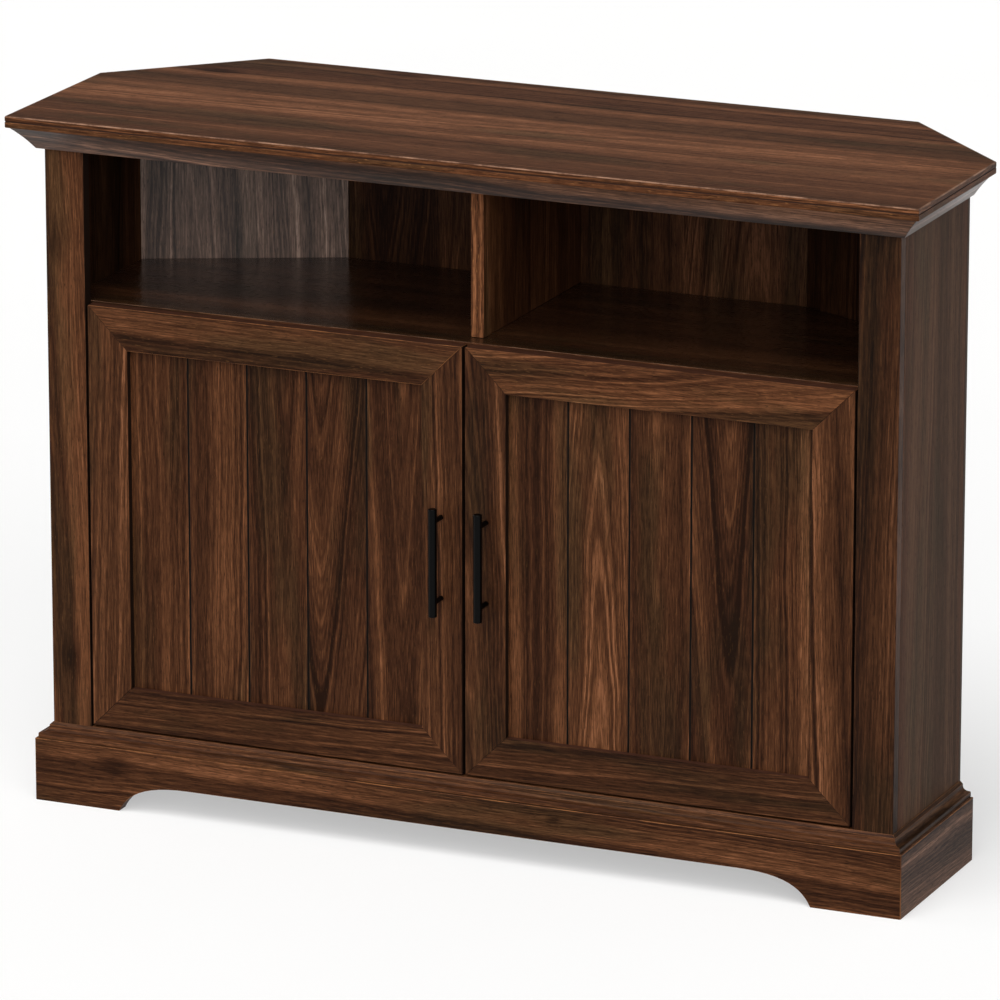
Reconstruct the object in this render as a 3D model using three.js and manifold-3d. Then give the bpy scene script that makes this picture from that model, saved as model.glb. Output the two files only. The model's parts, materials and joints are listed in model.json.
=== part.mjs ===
// Corner TV cabinet in dark walnut: a top with cut rear corners on a mitred crown moulding, two open bays
// over two inset doors with boarded panels, and a plinth with a moulded cap and a scrolled toe opening.
// Millimetres, +Z up, floor at z = 0. The doors face -Y and +X is to the right of someone facing them.
// The origin is on the floor under the middle of the top.
import * as THREE from "three";
import { mergeVertices } from "three/addons/utils/BufferGeometryUtils.js";
import Module from "manifold-3d";

const wasm = await Module();
wasm.setup();

// Top
const topWidth = 1118;
const topDepth = 394;
const topEndDepth = 245; // straight end, from the front edge to the cut corner
const topBackWidth = 820;
const topThickness = 14;
const topArris = 0.8;
const topGrooveHeight = 7.5; // from the underside to the middle of the groove round the edge
const topGrooveWidth = 1.6;
const topGrooveDepth = 0.8;
const totalHeight = 826;

// Carcass
const frontOverhang = 35; // from the top's front edge to the face of the stiles and doors
const sideOverhang = 33; // from the top's end to a side panel
const rearOverhang = 32; // from the back panel's outer face to the top's rear edge
const backInset = 120; // from the end of the top's rear edge to the end of the back panel
const backThickness = 6;
const backLap = 15; // how far the back comes down below the bottom panel
const boardThickness = 15;
const dividerThickness = 16;
const stileWidth = 49;
const shelfHeight = 604.5; // upper face of the fixed shelf
const shelfSetback = 16; // behind the face, clear of the doors
const upperDividerSetback = 39;
const seat = 0.3; // clearance left at every seat and joint

// Crown moulding under the top
const crownReveal = 3.5; // from the top's edge to the upper edge of the moulding
const crownRun = 22.5;
const crownDrop = 26.7;
const crownHollow = 1; // how far its face is hollowed
const crownSteps = 6;

// Plinth and its cap moulding
const plinthThickness = 16.5;
const plinthHeight = 76;
const plinthRearLap = 5; // how far a plinth side runs past the rear edge of its side panel
const footWidth = 109;
const scrollWidth = 89; // from the foot's tip to the flat of the toe opening
const scrollHeight = 35;
const scrollTipRun = 10; // the curve leaves the tip this far over
const scrollTipRise = 20.5; // for this much up
const scrollShoulder = 30; // and is full height this far from the tip, but for its last easing
const scrollSteps = 12;
const capReveal = 3; // from the plinth's face to the foot of the cap
const capHeight = 17.2;
const capFootHeight = 3.7;
const capRoundRun = 1.2;
const capRoundRise = 2.3;
const capHollowRun = 8.7;
const capHollowRise = 6.7;
const capFillet = 1.3;
const capSteps = 6;

// Doors
const doorFootGap = 2.5; // over the bottom panel
const doorTopDrop = 1.5; // below the upper face of the fixed shelf
const doorGap = 3; // between a door and its stile
const doorMeetingGap = 4;
const doorThickness = 15;
const doorFrameWidth = 50;
const doorRebateWidth = 8;
const panelRecess = 9; // from the frame's face to the boards
const boardsPerDoor = 5;
const boardLap = 2.25; // how much of each outer board the frame hides
const boardGrooveWidth = 2.4;
const boardGrooveDepth = 1.4;

// Bar handles
const handleLength = 128;
const handleSpacing = 96;
const handleDiameter = 10;
const handlePostDiameter = 6;
const handleStandoff = 24; // from the door's face to the bar's axis
const handleChamfer = 0.8;
const handleInset = 28; // from the middle of the cabinet to the bar's axis
const handleRise = 2.5; // of the bar's middle over the door's
const handleSocketDepth = 4; // hole in the bar for the end of a post
const handleStudDiameter = 4; // in the door
const handleStudDepth = 10;
const handleSides = 24;

// Concealed hinges
const hingeInset = 84; // from the door's end to the axis of the nearer cup
const cupDiameter = 35;
const cupDepth = 11.5;
const cupWall = 1;
const cupEdgeDistance = 22.5; // from the door's edge to the cup's axis
const cupSides = 32;
const flangeWidth = 26;
const flangeHeight = 62;
const flangeThickness = 1.2;
const packerDepth = 80;
const armHeight = 14;
const armThickness = 11; // of its straight part, out from the packer
const armNoseWidth = 10; // of the knuckle that reaches into the cup
const armElbow = 2.6; // from the door's back to the slanting part
const armElbowRise = 8; // from there to the outside of the bend
const armCrank = 24; // from the door's back to the rear end of the slanting part
const armLength = 66; // from the door's back to the arm's rear end
const armPlateThickness = 2.4;
const armPlateHeight = 44;
const armPlateFront = 32;
const armPlateRear = 58;
const armNoseSteps = 8;

// Loose shelves and the pegs they lie on
const looseShelfRise = 251.5; // from the bottom panel to its underside
const looseShelfSetback = 110;
const looseShelfGap = 2.2;
const pegDiameter = 5;
const pegLength = 6.6; // in its hole
const pegHoleClearance = 0.2;
const pegHoleDepth = 7;
const pegCollarDiameter = 9;
const pegCollarThickness = 1.5;
const pegStubDiameter = 6;
const pegStubLength = 9;
const pegSides = 16;
const pegFrontInset = 30; // from the loose shelf's front edge
const pegSideRearInset = 10; // from the rear edge of the side panel
const pegDividerRearInset = 31; // from the back panel
const pegSteps = [-1, 0, 1];
const pegPitch = 64;

// Cable ports through the back
const portDiameter = 50;
const portOffset = 150; // from the middle of the cabinet
const portRise = 76.5; // from the bottom panel to the middle of a port
const portSides = 32;

const cutOverrun = 1;
const weldDistance = 1e-4;
const mitred = 1;
const square = 0;

// Levels and planes that the pieces share
const frontY = -topDepth / 2;
const faceY = frontY + frontOverhang;
const topHalf = topWidth / 2;
const bodyHalf = topHalf - sideOverhang;
const sideInnerX = bodyHalf - boardThickness;
const stileInnerX = bodyHalf - stileWidth;
const backHalf = topBackWidth / 2 - backInset;
const endY = frontY + topEndDepth;
const backY = frontY + topDepth - rearOverhang - backThickness;
const topUnderside = totalHeight - topThickness;
const underTop = topUnderside - seat;
const crownBottom = underTop - crownDrop;
const behindStileY = faceY + boardThickness + seat;
const shelfFrontY = faceY + shelfSetback;
const shelfUnderside = shelfHeight - boardThickness;
const bottomHeight = plinthHeight + seat + capHeight; // upper face of the bottom panel, level with the cap
const bottomUnderside = bottomHeight - boardThickness;
const cornerSlope = (backY - endY) / (bodyHalf - backHalf);
const cornerStretch = Math.hypot(1, cornerSlope); // length along the corner panel for each unit of x
const looseShelfFrontY = faceY + looseShelfSetback;
const looseShelfHeight = bottomHeight + looseShelfRise; // underside
const pegAxisHeight = looseShelfHeight - seat - pegStubDiameter / 2;
const pegFrontY = looseShelfFrontY + pegFrontInset;
const pegSideRearY = endY - pegSideRearInset;
const pegDividerRearY = backY - pegDividerRearInset;
const doorBottom = bottomHeight + doorFootGap;
const doorTop = shelfHeight - doorTopDrop;
const doorInnerX = doorMeetingGap / 2;
const doorOuterX = stileInnerX - doorGap;
const doorBackY = faceY + doorThickness;
const hinges = [
  ["lower", doorBottom + hingeInset],
  ["upper", doorTop - hingeInset],
];
const handleHeight = (doorBottom + doorTop) / 2 + handleRise;

// Finishes
const walnut = new THREE.MeshStandardMaterial({ color: 0x4a2e20, roughness: 0.5, metalness: 0 });
const walnutDoor = new THREE.MeshStandardMaterial({ color: 0x503222, roughness: 0.5, metalness: 0 });
const walnutTop = new THREE.MeshStandardMaterial({ color: 0x5a3a2a, roughness: 0.45, metalness: 0 });
const innerBoard = new THREE.MeshStandardMaterial({ color: 0x3a241a, roughness: 0.6, metalness: 0 });
const blackMetal = new THREE.MeshStandardMaterial({ color: 0x111111, roughness: 0.4, metalness: 0.7 });
const nickel = new THREE.MeshStandardMaterial({ color: 0xb8b6b0, roughness: 0.3, metalness: 0.9 });

const cabinet = new THREE.Group();

function addMesh(parent, name, geometry, material) {
  const mesh = new THREE.Mesh(geometry, material);
  mesh.name = name;
  parent.add(mesh);
  return mesh;
}

// A board given by its lowest and highest x, y and z
function board(x, y, z) {
  const geometry = new THREE.BoxGeometry(x[1] - x[0], y[1] - y[0], z[1] - z[0]);
  return geometry.translate((x[0] + x[1]) / 2, (y[0] + y[1]) / 2, (z[0] + z[1]) / 2);
}

function outline(points) {
  return new THREE.Shape(points.map(([x, y]) => new THREE.Vector2(x, y)));
}

// A panel given by its plan, standing or lying between two heights
function planPanel(points, bottom, top) {
  const geometry = new THREE.ExtrudeGeometry(outline(points), { depth: top - bottom, bevelEnabled: false });
  return geometry.translate(0, 0, bottom);
}

// A panel given by its front view in x and z, between two depths
function frontPanel(shape, front, back) {
  const geometry = new THREE.ExtrudeGeometry(shape, { depth: back - front, bevelEnabled: false });
  return geometry.rotateX(Math.PI / 2).translate(0, back, 0);
}

// A length of moulding along +X. Its section is in inward distance and height. Each end is cut square, or
// mitred at 45 degrees where its share is 1, so that the inner side is shorter.
function mouldingRun(section, length, startMitre, endMitre) {
  const geometry = new THREE.ExtrudeGeometry(outline(section), { depth: 1, bevelEnabled: false });
  const place = geometry.getAttribute("position");
  for (let i = 0; i < place.count; i++) {
    const inward = place.getX(i);
    const height = place.getY(i);
    const start = startMitre * (inward + seat / 2);
    const end = length - endMitre * (inward + seat / 2);
    place.setXYZ(i, start + (end - start) * place.getZ(i), inward, height);
  }
  geometry.computeVertexNormals();
  return geometry;
}

// A flat plate with a shaped edge: one ring of the convex plan for each height, drawn in by its inset
function edgedPlate(plan, rings) {
  const positions = [];
  const faces = [];
  const count = plan.length;
  rings.forEach(([height, inset]) => {
    insetPlan(plan, inset).forEach(([x, y]) => positions.push(x, y, height));
  });
  for (let ring = 0; ring + 1 < rings.length; ring++) {
    for (let i = 0; i < count; i++) {
      const a = ring * count + i;
      const b = ring * count + ((i + 1) % count);
      faces.push(a, b, b + count, a, b + count, a + count);
    }
  }
  const last = (rings.length - 1) * count;
  for (let i = 1; i + 1 < count; i++) {
    faces.push(0, i + 1, i, last, last + i, last + i + 1);
  }
  const geometry = new THREE.BufferGeometry();
  geometry.setAttribute("position", new THREE.Float32BufferAttribute(positions, 3));
  geometry.setIndex(faces);
  geometry.computeVertexNormals();
  return geometry;
}

// A convex plan, listed anticlockwise, with every side moved inwards by one distance
function insetPlan(plan, inset) {
  const count = plan.length;
  return plan.map(([x, y], i) => {
    const before = plan[(i + count - 1) % count];
    const after = plan[(i + 1) % count];
    const incoming = new THREE.Vector2(x - before[0], y - before[1]).normalize();
    const outgoing = new THREE.Vector2(after[0] - x, after[1] - y).normalize();
    const reach = inset / (1 + incoming.dot(outgoing));
    return [x - (incoming.y + outgoing.y) * reach, y + (incoming.x + outgoing.x) * reach];
  });
}

// A solid turned about the y axis, from a profile of radius and height
function turned(profile, sides) {
  const points = profile.map(([radius, height]) => new THREE.Vector2(radius, height));
  const geometry = welded(new THREE.LatheGeometry(points, sides));
  const kept = [];
  const index = geometry.index.array;
  for (let i = 0; i < index.length; i += 3) {
    const corners = [index[i], index[i + 1], index[i + 2]];
    if (new Set(corners).size === corners.length) {
      kept.push(...corners);
    }
  }
  geometry.setIndex(kept);
  geometry.computeVertexNormals();
  return geometry;
}

function welded(geometry) {
  const bare = geometry.clone();
  bare.deleteAttribute("normal");
  bare.deleteAttribute("uv");
  return mergeVertices(bare, weldDistance);
}

function toSolid(geometry) {
  const merged = welded(geometry);
  const mesh = new wasm.Mesh({
    numProp: 3,
    vertProperties: merged.getAttribute("position").array,
    triVerts: new Uint32Array(merged.index.array),
  });
  return new wasm.Manifold(mesh);
}

function toGeometry(solid) {
  const mesh = solid.getMesh();
  const geometry = new THREE.BufferGeometry();
  geometry.setAttribute("position", new THREE.Float32BufferAttribute(mesh.vertProperties, 3));
  geometry.setIndex(new THREE.Uint32BufferAttribute(mesh.triVerts, 1));
  geometry.computeVertexNormals();
  return geometry;
}

function cut(geometry, tools) {
  return toGeometry(tools.reduce((solid, tool) => solid.subtract(toSolid(tool)), toSolid(geometry)));
}

function join(geometries) {
  return toGeometry(geometries.map(toSolid).reduce((whole, next) => whole.add(next)));
}

// The mirror image across the middle of the cabinet
function mirrored(geometry) {
  const copy = geometry.index ? geometry.toNonIndexed() : geometry.clone();
  copy.scale(-1, 1, 1);
  const place = copy.getAttribute("position");
  for (let i = 0; i < place.count; i += 3) {
    const second = new THREE.Vector3().fromBufferAttribute(place, i + 1);
    const third = new THREE.Vector3().fromBufferAttribute(place, i + 2);
    place.setXYZ(i + 1, third.x, third.y, third.z);
    place.setXYZ(i + 2, second.x, second.y, second.z);
  }
  copy.computeVertexNormals();
  return copy;
}

// A right-hand piece and its mirror image on the left
function addPair(rightParent, leftParent, name, geometry, material) {
  addMesh(rightParent, `${name}_right`, geometry, material);
  addMesh(leftParent, `${name}_left`, mirrored(geometry), material);
}

// Where the corner panel's inner face, moved outwards by a distance, crosses a given x
function cornerY(x, outwards) {
  return endY + (bodyHalf - x) * cornerSlope + outwards * cornerStretch;
}

// Where that moved face meets the back panel's inner face moved as far
function cornerX(outwards) {
  return bodyHalf - (backY - endY + outwards * (1 - cornerStretch)) / cornerSlope;
}

// The rear edge of a shelf that fits against the back and the corner panels, from right to left
function rearEdge(outerX) {
  const right = [
    [outerX, cornerY(outerX, -seat)],
    [cornerX(-seat), backY - seat],
  ];
  const left = right.map(([x, y]) => [-x, y]).reverse();
  return [...right, ...left];
}

// Top

function topPanel() {
  const plan = [
    [-topHalf, frontY],
    [topHalf, frontY],
    [topHalf, frontY + topEndDepth],
    [topBackWidth / 2, frontY + topDepth],
    [-topBackWidth / 2, frontY + topDepth],
    [-topHalf, frontY + topEndDepth],
  ];
  const groove = topUnderside + topGrooveHeight;
  return edgedPlate(plan, [
    [topUnderside, topArris],
    [topUnderside + topArris, 0],
    [groove - topGrooveWidth / 2, 0],
    [groove, topGrooveDepth],
    [groove + topGrooveWidth / 2, 0],
    [totalHeight - topArris, 0],
    [totalHeight, topArris],
  ]);
}

// The crown's section, from the inner upper edge round its hollow face, in distance from the top's edge
function crownSection(depth) {
  const points = [[depth, underTop]];
  for (let i = 0; i <= crownSteps; i++) {
    const share = i / crownSteps;
    const hollow = crownHollow * Math.sin(Math.PI * share);
    const slant = Math.hypot(crownRun, crownDrop);
    points.push([
      crownReveal + crownRun * share + (hollow * crownDrop) / slant,
      underTop - crownDrop * share + (hollow * crownRun) / slant,
    ]);
  }
  points.push([depth, crownBottom]);
  return points;
}

function addTop() {
  addMesh(cabinet, "top_panel", topPanel(), walnutTop);
  const front = mouldingRun(crownSection(frontOverhang - seat), topWidth, mitred, mitred);
  addMesh(cabinet, "crown_front", front.translate(-topHalf, frontY, 0), walnut);
  const sideDepth = topHalf - bodyHalf - seat;
  const side = mouldingRun(crownSection(sideDepth), topEndDepth, mitred, square);
  side.rotateZ(Math.PI / 2).translate(topHalf, frontY, 0);
  addPair(cabinet, cabinet, "crown", side, walnut);
  const railX = stileInnerX - seat;
  addMesh(
    cabinet,
    "top_rail",
    board([-railX, railX], [faceY, faceY + boardThickness], [crownBottom, underTop]),
    walnut,
  );
}

// Carcass

// Blind holes in a panel's face at x, one for each peg position, bored in the direction given by its sign
function pegHoles(x, direction, columns) {
  const radius = pegDiameter / 2 + pegHoleClearance;
  const middle = x + (direction * (pegHoleDepth - cutOverrun)) / 2;
  const holes = [];
  for (const y of columns) {
    for (const step of pegSteps) {
      const hole = new THREE.CylinderGeometry(radius, radius, pegHoleDepth + cutOverrun, pegSides);
      hole.rotateZ(Math.PI / 2);
      hole.translate(middle, y, pegAxisHeight + step * pegPitch);
      holes.push(hole);
    }
  }
  return holes;
}

function sidePanel() {
  const plan = [
    [sideInnerX, behindStileY],
    [bodyHalf, behindStileY],
    [bodyHalf, cornerY(bodyHalf, -seat)],
    [sideInnerX, cornerY(sideInnerX, -seat)],
  ];
  return cut(planPanel(plan, 0, underTop), pegHoles(sideInnerX, 1, [pegFrontY, pegSideRearY]));
}

function cornerBack() {
  const plan = [
    [bodyHalf, cornerY(bodyHalf, 0)],
    [bodyHalf, cornerY(bodyHalf, backThickness)],
    [backHalf + seat, cornerY(backHalf + seat, backThickness)],
    [backHalf + seat, cornerY(backHalf + seat, 0)],
  ];
  return planPanel(plan, bottomUnderside - backLap, underTop);
}

function backPanel() {
  const bottom = bottomUnderside - backLap;
  const shape = outline([
    [-backHalf, bottom],
    [backHalf, bottom],
    [backHalf, underTop],
    [-backHalf, underTop],
  ]);
  const ports = [-portOffset, portOffset].map((x) => {
    const radius = portDiameter / 2;
    const port = new THREE.CylinderGeometry(radius, radius, backThickness + 2 * cutOverrun, portSides);
    return port.translate(x, backY + backThickness / 2, bottomHeight + portRise);
  });
  return cut(frontPanel(shape, backY, backY + backThickness), ports);
}

// A full-width shelf behind the stiles. The bottom panel also comes forward between them.
function shelfPlan(front, forwardX, forwardY) {
  const outerX = sideInnerX - seat;
  const nose = forwardX
    ? [
        [-outerX, front],
        [-forwardX, front],
        [-forwardX, forwardY],
        [forwardX, forwardY],
        [forwardX, front],
        [outerX, front],
      ]
    : [
        [-outerX, front],
        [outerX, front],
      ];
  return [...nose, ...rearEdge(outerX)];
}

function divider(front, bottom, top) {
  const half = dividerThickness / 2;
  return board([-half, half], [front, backY - seat], [bottom, top]);
}

function addCarcass() {
  const stile = board([stileInnerX, bodyHalf], [faceY, faceY + boardThickness], [0, underTop]);
  addPair(cabinet, cabinet, "stile", stile, walnut);
  addPair(cabinet, cabinet, "side_panel", sidePanel(), walnut);
  addPair(cabinet, cabinet, "corner_back", cornerBack(), innerBoard);
  addMesh(cabinet, "back_panel", backPanel(), innerBoard);
  const fixedShelf = planPanel(shelfPlan(shelfFrontY), shelfUnderside, shelfHeight);
  addMesh(cabinet, "fixed_shelf", fixedShelf, walnut);
  const bottomPlan = shelfPlan(behindStileY, stileInnerX - seat, faceY);
  addMesh(cabinet, "bottom_panel", planPanel(bottomPlan, bottomUnderside, bottomHeight), walnut);
  const upper = divider(faceY + upperDividerSetback, shelfHeight + seat, underTop);
  addMesh(cabinet, "upper_divider", upper, walnut);
  const half = dividerThickness / 2;
  const lower = divider(shelfFrontY, bottomHeight + seat, shelfUnderside - seat);
  const columns = [pegFrontY, pegDividerRearY];
  const holes = [...pegHoles(half, -1, columns), ...pegHoles(-half, 1, columns)];
  addMesh(cabinet, "lower_divider", cut(lower, holes), walnut);
  const packer = board(
    [stileInnerX, sideInnerX - seat],
    [behindStileY, behindStileY + packerDepth],
    [bottomHeight + seat, shelfUnderside - seat],
  );
  addPair(cabinet, cabinet, "hinge_packer", packer, walnut);
}

// Plinth

// The front board: a foot at each end and a scroll up to the raised toe opening
function plinthOutline(halfWidth) {
  const tip = halfWidth - footWidth;
  const scroll = new THREE.CubicBezierCurve(
    new THREE.Vector2(tip, 0),
    new THREE.Vector2(tip - scrollTipRun, scrollTipRise),
    new THREE.Vector2(tip - scrollShoulder, scrollHeight),
    new THREE.Vector2(tip - scrollWidth, scrollHeight),
  );
  const right = scroll.getPoints(scrollSteps).map((point) => [point.x, point.y]);
  const left = right.map(([x, y]) => [-x, y]);
  return outline([
    [halfWidth, 0],
    [halfWidth, plinthHeight],
    [-halfWidth, plinthHeight],
    [-halfWidth, 0],
    ...left,
    ...right.reverse(),
  ]);
}

// The same board with its ends mitred to meet the sides
function plinthFront(halfWidth, front, back) {
  const geometry = frontPanel(plinthOutline(halfWidth), front, back);
  const place = geometry.getAttribute("position");
  const middle = (front + back) / 2;
  for (let i = 0; i < place.count; i++) {
    const x = place.getX(i);
    if (Math.abs(x) > halfWidth - cutOverrun) {
      const inward = place.getY(i) > middle ? plinthThickness : 0;
      place.setX(i, Math.sign(x) * (halfWidth - inward - seat / 2));
    }
  }
  geometry.computeVertexNormals();
  return geometry;
}

// The cap's section, anticlockwise from its inner foot, in distance from the plinth's face
function capSection() {
  const foot = plinthHeight + seat;
  const roundX = capReveal + capRoundRun;
  const roundZ = foot + capFootHeight + capRoundRise;
  const hollowX = roundX + capHollowRun;
  const hollowZ = roundZ + capHollowRise;
  const face = [];
  const round = new THREE.QuadraticBezierCurve(
    new THREE.Vector2(capReveal, foot + capFootHeight),
    new THREE.Vector2(capReveal, roundZ),
    new THREE.Vector2(roundX, roundZ),
  );
  face.push(...round.getPoints(capSteps));
  const hollow = new THREE.QuadraticBezierCurve(
    new THREE.Vector2(roundX, roundZ),
    new THREE.Vector2(hollowX, roundZ),
    new THREE.Vector2(hollowX, hollowZ),
  );
  face.push(...hollow.getPoints(capSteps).slice(1));
  const top = foot + capHeight;
  const chamfer = top - hollowZ - capFillet;
  return [
    [plinthThickness, foot],
    [plinthThickness, top],
    [hollowX + chamfer, top],
    [hollowX, hollowZ + capFillet],
    ...face.reverse().map((point) => [point.x, point.y]),
    [capReveal, foot],
  ];
}

function addPlinth() {
  const innerX = bodyHalf + seat;
  const innerY = faceY - seat;
  const outerX = innerX + plinthThickness;
  const outerY = innerY - plinthThickness;
  const rearY = endY + plinthRearLap;
  addMesh(cabinet, "plinth_front", plinthFront(outerX, outerY, innerY), walnut);
  const sidePlan = [
    [outerX, outerY + seat / 2],
    [outerX, rearY],
    [innerX, rearY],
    [innerX, innerY + seat / 2],
  ];
  addPair(cabinet, cabinet, "plinth_side", planPanel(sidePlan, 0, plinthHeight), walnut);
  const section = capSection();
  const frontCap = mouldingRun(section, 2 * outerX, mitred, mitred);
  addMesh(cabinet, "plinth_cap_front", frontCap.translate(-outerX, outerY, 0), walnut);
  const sideCap = mouldingRun(section, rearY - outerY, mitred, square);
  sideCap.rotateZ(Math.PI / 2).translate(outerX, outerY, 0);
  addPair(cabinet, cabinet, "plinth_cap", sideCap, walnut);
  const railX = backHalf - boardThickness;
  const railY = [backY - seat - boardThickness, backY - seat];
  addMesh(cabinet, "rear_base_rail", board([-railX, railX], railY, [0, bottomUnderside - seat]), innerBoard);
}

// Doors

// A frame member's section in distance from the door's edge and, downwards, depth behind its face: full
// thickness, with a rebate behind the inner edge for the boarded panel
function frameSection() {
  const rebate = doorFrameWidth - doorRebateWidth;
  return [
    [0, 0],
    [0, -doorThickness],
    [rebate, -doorThickness],
    [rebate, -panelRecess],
    [doorFrameWidth, -panelRecess],
    [doorFrameWidth, 0],
  ];
}

// A frame member mitred at both ends, lying as the door's bottom rail does
function frameMember(length) {
  return mouldingRun(frameSection(), length, mitred, mitred).rotateX(Math.PI / 2);
}

// The panel inside the frame: upright boards cut in its face by grooves of V section
function boardedPanel() {
  const lap = doorFrameWidth - doorRebateWidth + seat;
  const left = doorInnerX + lap;
  const right = doorOuterX - lap;
  const front = faceY + panelRecess + seat;
  const firstBoard = doorInnerX + doorFrameWidth - boardLap;
  const lastBoard = doorOuterX - doorFrameWidth + boardLap;
  const face = [];
  for (let i = 1; i < boardsPerDoor; i++) {
    const middle = firstBoard + ((lastBoard - firstBoard) * i) / boardsPerDoor;
    face.push([middle - boardGrooveWidth / 2, front]);
    face.push([middle, front + boardGrooveDepth]);
    face.push([middle + boardGrooveWidth / 2, front]);
  }
  const plan = [[left, front], ...face, [right, front], [right, doorBackY], [left, doorBackY]];
  return planPanel(plan, doorBottom + lap, doorTop - lap);
}

// A hinge cup about its own axis, with the door's back surface at y = 0: a pressed bowl below the surface and
// a flange lying on it
function hingeCup() {
  const outer = cupDiameter / 2 - seat;
  const inner = outer - cupWall;
  const floor = seat - cupDepth;
  const bowl = turned(
    [
      [0, floor],
      [outer, floor],
      [outer, flangeThickness],
      [inner, flangeThickness],
      [inner, floor + cupWall],
      [0, floor + cupWall],
    ],
    cupSides,
  );
  const flangeX = [-flangeWidth / 2, flangeWidth / 2];
  const flangeZ = [-flangeHeight / 2, flangeHeight / 2];
  const flange = board(flangeX, [seat, flangeThickness], flangeZ);
  const mouth = new THREE.CylinderGeometry(inner, inner, 2 * cupDepth, cupSides);
  return join([bowl, cut(flange, [mouth])]);
}

// The bar's own axis is y; the posts come into its +x side
function handleBar() {
  const radius = handleDiameter / 2;
  const end = handleLength / 2;
  const bar = turned(
    [
      [0, -end],
      [radius - handleChamfer, -end],
      [radius, handleChamfer - end],
      [radius, end - handleChamfer],
      [radius - handleChamfer, end],
      [0, end],
    ],
    handleSides,
  );
  const socket = handlePostDiameter / 2 + seat;
  const holes = [-handleSpacing / 2, handleSpacing / 2].map((y) => {
    const hole = new THREE.CylinderGeometry(socket, socket, handleSocketDepth + cutOverrun, handleSides);
    return hole.rotateZ(Math.PI / 2).translate(radius + (cutOverrun - handleSocketDepth) / 2, y, 0);
  });
  return cut(bar, holes);
}

// A post with the stud that holds it in the door, the door's face at y = 0 and the bar in front of it
function handlePost() {
  const radius = handlePostDiameter / 2;
  const stud = handleStudDiameter / 2;
  const end = handleStandoff - handleDiameter / 2 + handleSocketDepth - seat;
  return turned(
    [
      [0, -end],
      [radius, -end],
      [radius, -seat],
      [stud, -seat],
      [stud, handleStudDepth],
      [0, handleStudDepth],
    ],
    handleSides,
  );
}

// Both doors are made as the right-hand one, and the left one is mirrored
function addDoors(rightDoor, leftDoor) {
  const width = doorOuterX - doorInnerX;
  const height = doorTop - doorBottom;
  const addToBoth = (name, geometry, material) => addPair(rightDoor, leftDoor, name, geometry, material);

  const bottomRail = frameMember(width).translate(doorInnerX, faceY, doorBottom);
  addToBoth("door_bottom_rail", bottomRail, walnutDoor);
  const topRail = frameMember(width).rotateY(Math.PI).translate(doorOuterX, faceY, doorTop);
  addToBoth("door_top_rail", topRail, walnutDoor);

  const handleStile = frameMember(height).rotateY(Math.PI / 2).translate(doorInnerX, faceY, doorTop);
  const posts = [
    ["lower", handleHeight - handleSpacing / 2],
    ["upper", handleHeight + handleSpacing / 2],
  ];
  const studBores = posts.map(([, z]) => {
    const radius = handleStudDiameter / 2 + seat;
    const bore = new THREE.CylinderGeometry(radius, radius, handleStudDepth + seat + cutOverrun, handleSides);
    return bore.translate(handleInset, faceY + (handleStudDepth + seat - cutOverrun) / 2, z);
  });
  addToBoth("door_handle_stile", cut(handleStile, studBores), walnutDoor);

  const hingeStile = frameMember(height).rotateY(-Math.PI / 2).translate(doorOuterX, faceY, doorBottom);
  const cupX = doorOuterX - cupEdgeDistance;
  const cupBores = hinges.map(([, z]) => {
    const radius = cupDiameter / 2;
    const bore = new THREE.CylinderGeometry(radius, radius, cupDepth + cutOverrun, cupSides);
    return bore.translate(cupX, doorBackY + (cutOverrun - cupDepth) / 2, z);
  });
  addToBoth("door_hinge_stile", cut(hingeStile, cupBores), walnutDoor);
  addToBoth("door_panel", boardedPanel(), walnutDoor);

  for (const [name, z] of hinges) {
    addToBoth(`hinge_cup_${name}`, hingeCup().translate(cupX, doorBackY, z), nickel);
  }
  const bar = handleBar().rotateX(Math.PI / 2).rotateZ(Math.PI / 2);
  addToBoth("handle_bar", bar.translate(handleInset, faceY - handleStandoff, handleHeight), blackMetal);
  for (const [name, z] of posts) {
    addToBoth(`handle_post_${name}`, handlePost().translate(handleInset, faceY, z), blackMetal);
  }
}

// The half of each hinge that stays on the carcass: a plate on the packer, and an arm that reaches round to
// a knuckle just clear of the cup's floor. The cup leaves the knuckle freely as the door swings.
function hingeArm() {
  const packerX = stileInnerX - seat;
  const half = armNoseWidth / 2;
  const nose = doorGap + cupEdgeDistance - seat; // from the packer's clearance to the cup's axis
  const cupFloor = seat + cupWall - cupDepth;
  const knuckle = [];
  for (let i = 0; i <= armNoseSteps; i++) {
    const angle = (Math.PI * i) / armNoseSteps;
    knuckle.push([nose + half * Math.cos(angle), cupFloor + seat + half - half * Math.sin(angle)]);
  }
  const plan = [
    [0, armCrank],
    [0, armLength],
    [armThickness, armLength],
    [armThickness, armCrank + armElbowRise / 2],
    [nose + half, armElbow + armElbowRise],
    ...knuckle,
    [nose - half, armElbow],
  ].map(([out, behind]) => [packerX - out, doorBackY + behind]);
  const arm = planPanel(plan, -armHeight / 2, armHeight / 2);
  const plate = board(
    [packerX - armPlateThickness, packerX],
    [doorBackY + armPlateFront, doorBackY + armPlateRear],
    [-armPlateHeight / 2, armPlateHeight / 2],
  );
  return join([arm, plate]);
}

function addHingeArms() {
  for (const [name, z] of hinges) {
    addPair(cabinet, cabinet, `hinge_arm_${name}`, hingeArm().translate(0, 0, z), nickel);
  }
}

// Loose shelves

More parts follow.
